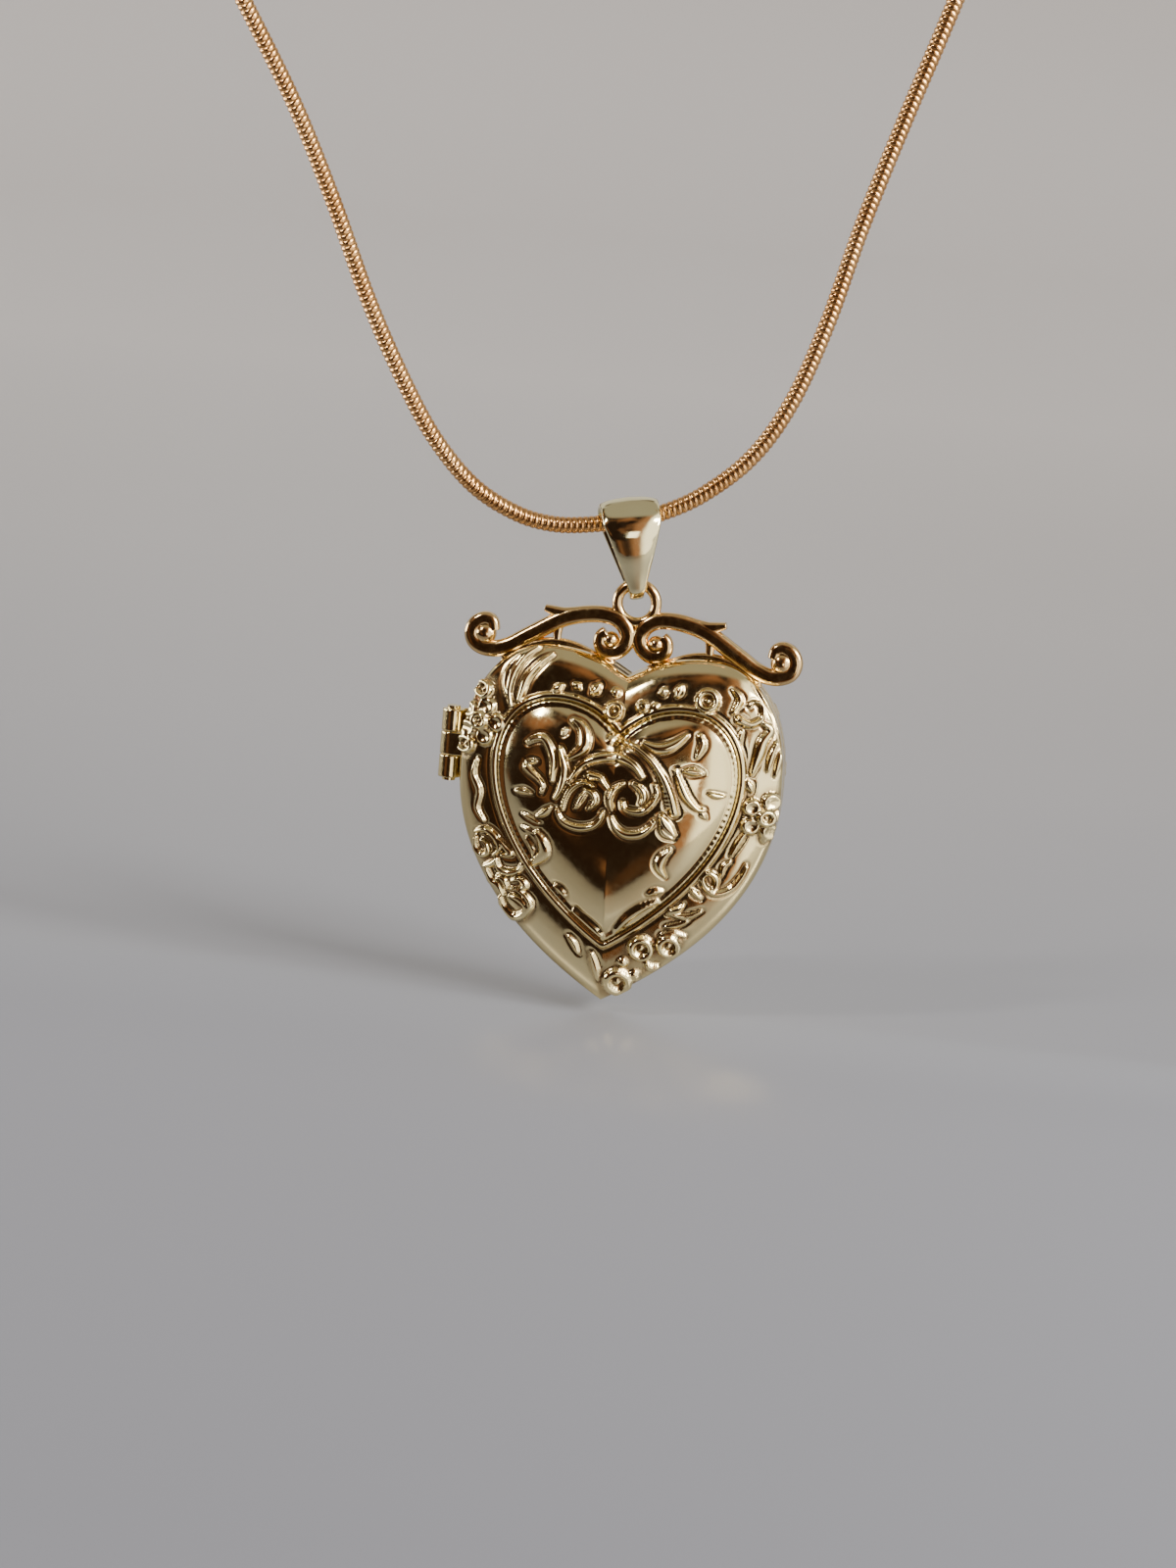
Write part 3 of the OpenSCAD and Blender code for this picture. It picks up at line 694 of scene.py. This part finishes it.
def relief(x, h, m, strength):
    """Everything raised on a half, over its smooth dome, and how much painted shade each point gets."""
    edge, along = to_polyline(x, h, np.concatenate([MEDALLION, MEDALLION[:1]]))
    out = np.where(m > 1, edge, -edge)
    outer_cord = 0.3 * np.sqrt(np.clip(1 - ((out - 0.42) / 0.3) ** 2, 0, 1))
    twist = 0.95 + 0.05 * np.sin(along * 2 * math.pi * CORD_TURNS)
    inner_cord = 0.24 * twist * np.sqrt(np.clip(1 - ((out + 0.14) / 0.2) ** 2, 0, 1))
    in_top, in_moat = stroke_relief(x, h, MEDALLION_STROKES)
    out_top, out_moat = stroke_relief(x, h, BORDER_STROKES)
    inside = out < -0.3
    outside = out > 0.75
    strokes = np.where(inside, in_top, 0) + np.where(outside, out_top, 0)
    moat = np.where(inside, in_moat, 0) + np.where(outside, out_moat, 0)
    rounds = round_relief(x, h, ROUNDS)
    top = np.maximum(np.maximum(strokes, rounds), np.maximum(outer_cord, inner_cord))
    inner_groove = np.clip(1 - np.abs(out + 0.14 - 0.26) / 0.14, 0, 1)
    groove = inner_groove + np.clip(1 - np.abs(out - 0.86) / 0.2, 0, 1)
    hollow = np.clip(np.maximum(moat, groove), 0, 1) * (top < 0.05)
    shape = top - 0.07 * hollow
    # painted shade: grooves and the foot of each raised stroke get a darker colour, standing in for the
    # shade that gathers there
    shade = np.clip((blurred(shape, 5) - shape) * 3.2, 0, 1)
    return strength * shape, np.clip(np.maximum(0.55 * hollow, shade), 0, 1)


def dome(x, h, s, m, depth):
    """Height of the smooth dome: a broad pillow with a second pillow, the medallion, on it.

    s and m run from 0 in the middle to 1 on the heart's and the medallion's outlines."""
    shoulder = depth - MEDALLION_RISE - 0.1
    broad = SIDE_WALL + (shoulder - SIDE_WALL) * np.clip(1 - s ** 3.0, 0, 1) ** 0.52
    middle = np.hypot(x / 9.6, (h + 15.6) / 10.6)
    blend = step(m, 0.25, 0.95)
    pillow = np.clip((1 - blend) * middle + blend * m, 0, 1)
    keel = 0.55 * step(-h, 18.5, 24.5) * np.exp(-np.abs(x) / 1.5) * np.clip(1 - m, 0, 1) ** 0.6
    return broad + MEDALLION_RISE * np.clip(1 - pillow ** 2.5, 0, 1) ** 0.75 + keel


def make_half(name, side, depth, strength, body, material, replaces):
    """One stamped half: embossed outside, rim and smooth inside; side is -1 in front and 1 behind."""
    turn = np.linspace(-math.pi, math.pi, HALF_AROUND, endpoint=False) + 1e-4
    heart_r, medal_r = heart_radius(turn), medallion_radius(turn)
    mirror = 1 if side < 0 else -1
    in_rows = np.linspace(0.012, 1, 78)[:, None] * medal_r
    u = np.sin(np.linspace(0, 1, 70)[1:] * math.pi / 2)[:, None]
    out_rows = medal_r + (heart_r * 0.9995 - medal_r) * u
    r = np.concatenate([in_rows, out_rows])
    x, h = r * np.sin(turn), HEART_MID + r * np.cos(turn)
    s, m = r / heart_r, r / medal_r
    y = dome(x, h, s, m, depth)
    raised, hollow = relief(x, h, m, strength)
    raised = raised * step(1 - s, 0.0, 0.02)
    base = np.stack([x, y, h], -1)
    du = np.gradient(base, axis=0)
    dv = np.roll(base, -1, axis=1) - np.roll(base, 1, axis=1)
    normal = np.cross(dv, du)
    normal /= np.maximum(np.linalg.norm(normal, axis=-1), 1e-9)[..., None]
    normal *= np.sign(normal[..., 1:2] + 1e-9)
    outside = base + normal * raised[..., None]
    rim = []
    for scale, height in ((1, SIDE_WALL * 0.85), (1, 0.7), (1, 0.35), (1, PARTING + 0.06), (0.996, PARTING),
                          (0.97, PARTING), (LIP_SCALE, PARTING + 0.06), (LIP_SCALE, SIDE_WALL)):
        rr = heart_r * scale
        rim.append(np.stack([rr * np.sin(turn), np.full(HALF_AROUND, height),
                             HEART_MID + rr * np.cos(turn)], -1))
    for q in (0.985, 0.95, 0.89, 0.8, 0.66, 0.5, 0.3, 0.1):
        rr = heart_r * LIP_SCALE * q
        xi, hi = rr * np.sin(turn), HEART_MID + rr * np.cos(turn)
        yi = dome(xi, hi, rr / heart_r / LIP_SCALE, rr / medal_r, depth) - WALL
        rim.append(np.stack([xi, yi, hi], -1))
    grid = np.concatenate([outside, np.array(rim)])
    peak = dome(0, HEART_MID, 0.0, 0.0, depth)
    verts = np.concatenate([grid.reshape(-1, 3), [[0, peak, HEART_MID], [0, peak - WALL, HEART_MID]]])
    faces = capped_grid(len(grid), HALF_AROUND)
    # the painted-shade mask rides on the embossed outside; rim and inside get none
    cavity = np.concatenate([hollow.reshape(-1), np.zeros(len(rim) * HALF_AROUND + 2)])
    verts = verts * [mirror, side, 1] + [EYE[0], 0, EYE[1]]
    if side * mirror > 0:
        faces = [f[::-1] for f in faces]
    piece = make_piece(name, verts, faces, material, body, values=cavity)
    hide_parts(replaces)
    return piece


# ---- crown, bail and other pieces ----

SCROLL = [[-11.6, -3.4], [-11.8, -2.7], [-12.4, -2.5], [-13.1, -2.9], [-13.4, -3.7], [-13.1, -4.5],
          [-12.3, -4.9], [-11.3, -4.9], [-10.2, -4.5], [-9.1, -3.8], [-8, -3.1], [-6.9, -2.4],
          [-5.8, -1.8], [-4.5, -1.4], [-3.1, -1.2], [-1.9, -1.3], [-1, -1.8], [-0.5, -2.7],
          [-0.7, -3.6], [-1.4, -4.2], [-2.2, -4.2], [-2.7, -3.7], [-2.7, -3], [-2.3, -2.6]]
SPUR = [[-4.9, -1.5], [-5.9, -1.5], [-6.7, -1.3], [-7.5, -1.1]]
SHOULDER = [[-10.6, -5.4], [-9.6, -4.85], [-8.4, -4.4], [-7.0, -4.0], [-5.6, -3.95], [-4.2, -4.2],
            [-2.6, -4.8]]
STRUTS = [[[-6.3, -2.4], [-6.35, -4.3]], [[-2.0, -4.3], [-1.8, -5.2]], [[-10.6, -4.9], [-10.4, -5.9]]]


def in_locket(points, mirror):
    """Points [x, h] from the eyelet, in their place; mirror is -1 for the right side."""
    p = np.array(points, float)
    return np.stack([p[:, 0] * mirror + EYE[0], np.zeros(len(p)), p[:, 1] + EYE[1]], 1)


def strand(shape, points, mirror, width, depth, steps=8):
    """A rounded strand of the crown along points, in the plane of the heart."""
    centres = in_locket(smooth_curve(points, steps), mirror)
    side = np.cross(tangents(centres), [0, 1, 0])
    shape.tube(centres, side, width(np.linspace(0, 1, len(centres))), depth, power=2.8, around=28)


def make_crown(material):
    """Scrolls, spurs, shoulder strands and struts on both sides, with a ball in each curl."""
    shape = Shape()
    for mirror in (1, -1):
        strand(shape, SCROLL, mirror,
               lambda t: 1.0 + 0.45 * np.clip(np.sin(math.pi * t), 0, 1) ** 0.7, 1.25)
        strand(shape, SPUR, mirror, lambda t: 1.5 - 0.95 * t, 1.1)
        strand(shape, SHOULDER, mirror, lambda t: 0.45 + 0.5 * np.sin(math.pi * t), 1.0)
        for strut in STRUTS:
            strand(shape, strut, mirror, lambda t: 0.7 + 0.4 * (2 * t - 1) ** 2, 0.85, steps=6)
        for x, h, r in ((-12.3, -3.7, 0.95), (-1.9, -3.2, 0.72)):
            shape.ball((x * mirror + EYE[0], 0, h + EYE[1]), (r, 0.86, r))
    piece = shape.piece("crown_scrolls", material, "locket_back", "crown_gold")
    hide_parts("crown_scrollwork")
    return piece


def make_bail(material):
    """A tapered ribbon bent round the chain, softly domed outside, with rounded edges."""
    top_r, low_r = BAIL_TOP_R + BAIL_T / 2, BAIL_LOW_R + BAIL_T / 2
    top_z, low_z = BAIL_CREST - BAIL_TOP_R, -BAIL_LEN + EYELET_R
    lean = math.asin((top_r - low_r) / (top_z - low_z))
    upper = np.linspace(-lean, math.pi + lean, 60)
    lower = np.linspace(math.pi + lean, 2 * math.pi - lean, 40)
    loop = np.concatenate([np.stack([top_r * np.cos(upper), top_z + top_r * np.sin(upper)], 1),
                           np.stack([low_r * np.cos(lower), low_z + low_r * np.sin(lower)], 1)])
    loop = even_spacing(np.concatenate([loop, loop[:1]]), 181)[:-1]
    t = np.roll(loop, -1, axis=0) - np.roll(loop, 1, axis=0)
    t /= np.linalg.norm(t, axis=1)[:, None]
    out = np.stack([t[:, 1], -t[:, 0]], 1)
    width = np.interp(loop[:, 1], [-BAIL_LEN + 0.9, 0], [BAIL_BOTTOM_W, BAIL_TOP_W])
    a = np.linspace(0, 2 * math.pi, 28, endpoint=False)
    across = np.sign(np.cos(a)) * np.abs(np.cos(a)) ** 0.5
    through = np.sign(np.sin(a)) * np.abs(np.sin(a)) ** 0.5
    bulge = 0.3 * (1 - across ** 2) * (through > 0)
    # the front of the ribbon bows out a little between the chain and the eyelet
    from_middle = loop[:, 1] - (top_z + low_z) / 2 - 0.3
    loop = loop + out * (0.15 * np.exp(-(from_middle / 1.3) ** 2) * (loop[:, 0] < 0))[:, None]
    x = across[None] * width[:, None] / 2
    off = through[None] * BAIL_T / 2 * 0.9 + bulge[None] * (width[:, None] / BAIL_TOP_W) - 0.02
    y = loop[:, None, 0] + out[:, None, 0] * off
    z = loop[:, None, 1] + out[:, None, 1] * off
    cy, sy = math.cos(BAIL_YAW), math.sin(BAIL_YAW)
    x, y = x * cy - y * sy, x * sy + y * cy
    c, s = math.cos(BAIL_TILT), math.sin(BAIL_TILT)
    verts = np.stack([x * c - z * s, y, x * s + z * c], -1).reshape(-1, 3)
    rows = len(loop)
    faces = (grid_faces(rows + 1, len(a)) % (rows * len(a))).tolist()
    piece = make_piece("bail_ribbon", verts, faces, material, "bail")
    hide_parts("bail_band")
    return piece


def soften(node, name, material, body, voxel=0.07):
    """A rounded, cast-looking version of a CAD node."""
    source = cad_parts[node]
    mesh = source.data.copy()
    mesh.materials.clear()
    mesh.materials.append(material)
    piece = bpy.data.objects.new(name, mesh)
    bpy.context.collection.objects.link(piece)
    remesh = piece.modifiers.new("remesh", "REMESH")
    remesh.mode = "VOXEL"
    remesh.voxel_size = voxel * MM
    remesh.use_smooth_shade = True
    relax = piece.modifiers.new("relax", "SMOOTH")
    relax.iterations = 4
    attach(piece, body)
    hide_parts(node)
    return piece


def dress(node, material):
    """Gives a CAD node its finished material."""
    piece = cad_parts[node]
    if not piece.material_slots:
        piece.data.materials.append(material)
    for slot in piece.material_slots:
        slot.material = material


# ---- room and light ----

def make_floor():
    """A pale floor just under the tip of the heart, rising far behind and falling away in front."""
    material, nodes, links, shader = new_material("floor")
    shader.inputs["Roughness"].default_value = 0.3
    place = nodes.new("ShaderNodeTexCoord").outputs["Object"]
    axes = nodes.new("ShaderNodeSeparateXYZ")
    links.new(place, axes.inputs["Vector"])
    # painted light: the floor's colour runs from dark in front to pale behind, standing in for how the
    # light falls off, with a faint random mottle on top
    painted_falloff_and_mottle = nodes.new("ShaderNodeMath")
    painted_falloff_and_mottle.operation = "MULTIPLY_ADD"
    painted_falloff_and_mottle.inputs[1].default_value = 0.06
    links.new(noise(nodes, links, place, 3), painted_falloff_and_mottle.inputs[0])
    links.new(remapped(nodes, links, axes.outputs["Y"], -0.05, 0.65), painted_falloff_and_mottle.inputs[2])
    tone = colour_ramp(nodes, links, painted_falloff_and_mottle.outputs["Value"], [
        (0, (0.205, 0.215, 0.25)), (0.15, (0.26, 0.27, 0.305)), (0.28, (0.37, 0.375, 0.405)),
        (0.48, (0.5, 0.5, 0.52)), (1, (0.72, 0.7, 0.7))])
    links.new(tone, shader.inputs["Base Color"])
    z = CAD_BOUNDS[0][2] - FLOOR_GAP
    bend = [(BEND_START - BEND_R * math.sin(t), BEND_R * (math.cos(t) - 1))
            for t in np.linspace(FRONT_SLOPE, 0, 16)]
    front = [(bend[0][0] - run, bend[0][1] - run * math.tan(FRONT_SLOPE)) for run in (FRONT_RUN, 0.2)]
    sweep = [(SWEEP_START + SWEEP_R * math.sin(t), SWEEP_R * (1 - math.cos(t)))
             for t in np.linspace(0, SWEEP_TURN, 24)]
    profile = front + bend + [(0.2, 0), (0.8, 0)] + sweep
    verts = [(side * FLOOR_HALF_WIDTH, y, z + up) for y, up in profile for side in (-1, 1)]
    faces = [(2 * i, 2 * i + 1, 2 * i + 3, 2 * i + 2) for i in range(len(profile) - 1)]
    mesh = bpy.data.meshes.new("floor")
    mesh.from_pydata(verts, [], faces)
    mesh.polygons.foreach_set("use_smooth", [True] * len(faces))
    mesh.materials.append(material)
    floor = bpy.data.objects.new("floor", mesh)
    bpy.context.collection.objects.link(floor)
    return floor


def make_world():
    """A room for the metal to mirror: dark in front, copper then a window to the right, pale behind.

    The backdrop itself is plain and pale."""
    world = bpy.data.worlds.new("room")
    bpy.context.scene.world = world
    world.use_nodes = True
    nodes, links = world.node_tree.nodes, world.node_tree.links
    place = nodes.new("ShaderNodeTexCoord").outputs["Generated"]
    axes = nodes.new("ShaderNodeSeparateXYZ")
    links.new(place, axes.inputs["Vector"])
    x, y, z = (axes.outputs[k] for k in "XYZ")

    def between(source, low, high):
        return remapped(nodes, links, source, low, high, smooth=True)

    behind = between(y, 0.05, 0.3)
    lit = nodes.new("ShaderNodeMath")
    lit.operation = "MULTIPLY"
    links.new(behind, lit.inputs[0])
    links.new(between(noise(nodes, links, place, 1.9, 1), 0.44, 0.54), lit.inputs[1])
    colour = colour_ramp(nodes, links, noise(nodes, links, place, 2.2),
                         [(0.5, (0.022, 0.012, 0.009)), (0.72, (0.34, 0.15, 0.075))])
    layers = [(between(x, 0.24, 0.42), (0.42, 0.2, 0.11)),
              (between(x, 0.46, 0.58), (2.2, 2.1, 1.95)),
              (behind, (0.1, 0.07, 0.05)),
              (lit.outputs["Value"], (0.8, 0.78, 0.76)),
              (between(z, 0.72, 0.85), (0.4, 0.37, 0.32)),
              (nodes.new("ShaderNodeLightPath").outputs["Is Camera Ray"], BACKDROP)]
    for factor, over in layers:
        colour = blend_colour(nodes, links, factor, colour, over)
    links.new(colour, nodes["Background"].inputs["Color"])


def area_light(name, location, target, size, power, colour):
    """A rectangular light aimed at a point."""
    data = bpy.data.lights.new(name, "AREA")
    data.shape = "RECTANGLE"
    data.size, data.size_y = size
    data.energy = power
    data.color = colour
    light = bpy.data.objects.new(name, data)
    light.location = location
    light.rotation_euler = (Vector(target) - Vector(location)).to_track_quat("-Z", "Y").to_euler()
    bpy.context.collection.objects.link(light)
    return light


def make_lights(floor):
    """Low sun from the right, a window, two lamps and a card on the left."""
    heart = (0, 0, -0.022)
    sun = bpy.data.lights.new("sun", "SUN")
    sun.energy = 1.7
    sun.angle = math.radians(14)
    sun.color = (1.0, 0.96, 0.9)
    key = bpy.data.objects.new("sun", sun)
    key.rotation_euler = Vector((0.72, -0.5, 0.5)).to_track_quat("Z", "Y").to_euler()
    bpy.context.collection.objects.link(key)
    area_light("window_right", (0.3, -0.1, 0.12), heart, (0.07, 0.14), 1.3, (1.0, 0.96, 0.9))
    area_light("lamp_left", (-0.2, -0.2, 0.2), heart, (0.03, 0.08), 0.5, (1.0, 0.93, 0.85))
    area_light("lamp_low", (0.107, -0.28, -0.05), (0, 0, -0.01), (0.06, 0.09), 0.05, (1.0, 0.97, 0.9))
    card = area_light("card_left", (-0.22, 0.0, 0.0), heart, (0.16, 0.07), 0.35, (1.0, 0.98, 0.94))
    # the card lights the locket and leaves the floor alone
    spared = bpy.data.collections.new("spared_by_card")
    spared.objects.link(floor)
    card.light_linking.receiver_collection = spared
    spared.collection_objects[0].light_linking.link_state = "EXCLUDE"


make_camera()
# the third colour given to each metal is the painted shade for its hollows, used only where cavity is set
chain_metal = polished_metal("chain_copper", (0.86, 0.5, 0.2), (0.74, 0.38, 0.13), (0.1, 0.035, 0.012),
                             roughness=0.2, cavity=True, scale=2.0)
clasp_metal = polished_metal("clasp_copper", (0.9, 0.58, 0.3), (0.8, 0.46, 0.21), (0.2, 0.09, 0.05),
                             roughness=0.16, scale=1.5)
chain, chain_length, chain_path = make_chain(chain_metal)
clasp_parts = [soften(n, n + "_cast", clasp_metal, "chain")
               for n in ("clasp_body", "end_tag", "end_cap_left", "end_cap_right")]
clasp_parts.append(soften("clasp_lever", "clasp_lever_cast", clasp_metal, "clasp_lever",
                          voxel=0.05))
for n in ("jump_ring_left", "jump_ring_right", "clasp_rivet"):
    dress(n, clasp_metal)
dress("clasp_spring", polished_metal("spring_steel", (0.7, 0.7, 0.7), (0.55, 0.55, 0.56), (0.2, 0.2, 0.2),
                                     roughness=0.25))
clasp_parts += [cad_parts[n]
                for n in ("jump_ring_left", "jump_ring_right", "clasp_rivet", "clasp_spring")]

# the third colour here is the painted shade laid into the relief's hollows
gold = polished_metal("pale_gold", (0.92, 0.79, 0.42), (0.86, 0.7, 0.34), (0.2, 0.09, 0.035), 0.1,
                      cavity=True)
plain_gold = polished_metal("plain_gold", (0.92, 0.79, 0.42), (0.86, 0.7, 0.34), (0.3, 0.2, 0.1), 0.15)
crown_gold = polished_metal("crown_gold", (0.84, 0.62, 0.29), (0.74, 0.5, 0.22), (0.3, 0.2, 0.1), 0.15)
bail_gold = polished_metal("bail_gold", (0.93, 0.85, 0.5), (0.88, 0.77, 0.42), (0.3, 0.2, 0.1), 0.09)
card = card_material()
film = film_material()

make_half("front_half", -1, FRONT_DEPTH, 1.0, "front_cover", gold, "front_shell")
make_half("back_half", 1, BACK_DEPTH, 0.7, "locket_back", gold, "back_shell")
make_crown(crown_gold)
make_bail(bail_gold)
dress("crown_eyelet", crown_gold)
soften("hinge_knuckles_back", "hinge_knuckles_back_cast", plain_gold, "locket_back")
soften("hinge_knuckle_front", "hinge_knuckle_front_cast", plain_gold, "front_cover")
for n in ("hinge_pin", "back_inner_rim", "back_photo_bezel", "front_photo_bezel", "catch_striker",
          "catch_tongue"):
    dress(n, plain_gold)
for n in ("back_photo_card", "front_photo_card"):
    dress(n, card)
for n in ("back_photo_window", "front_photo_window"):
    dress(n, film)

floor = make_floor()
make_world()
make_lights(floor)
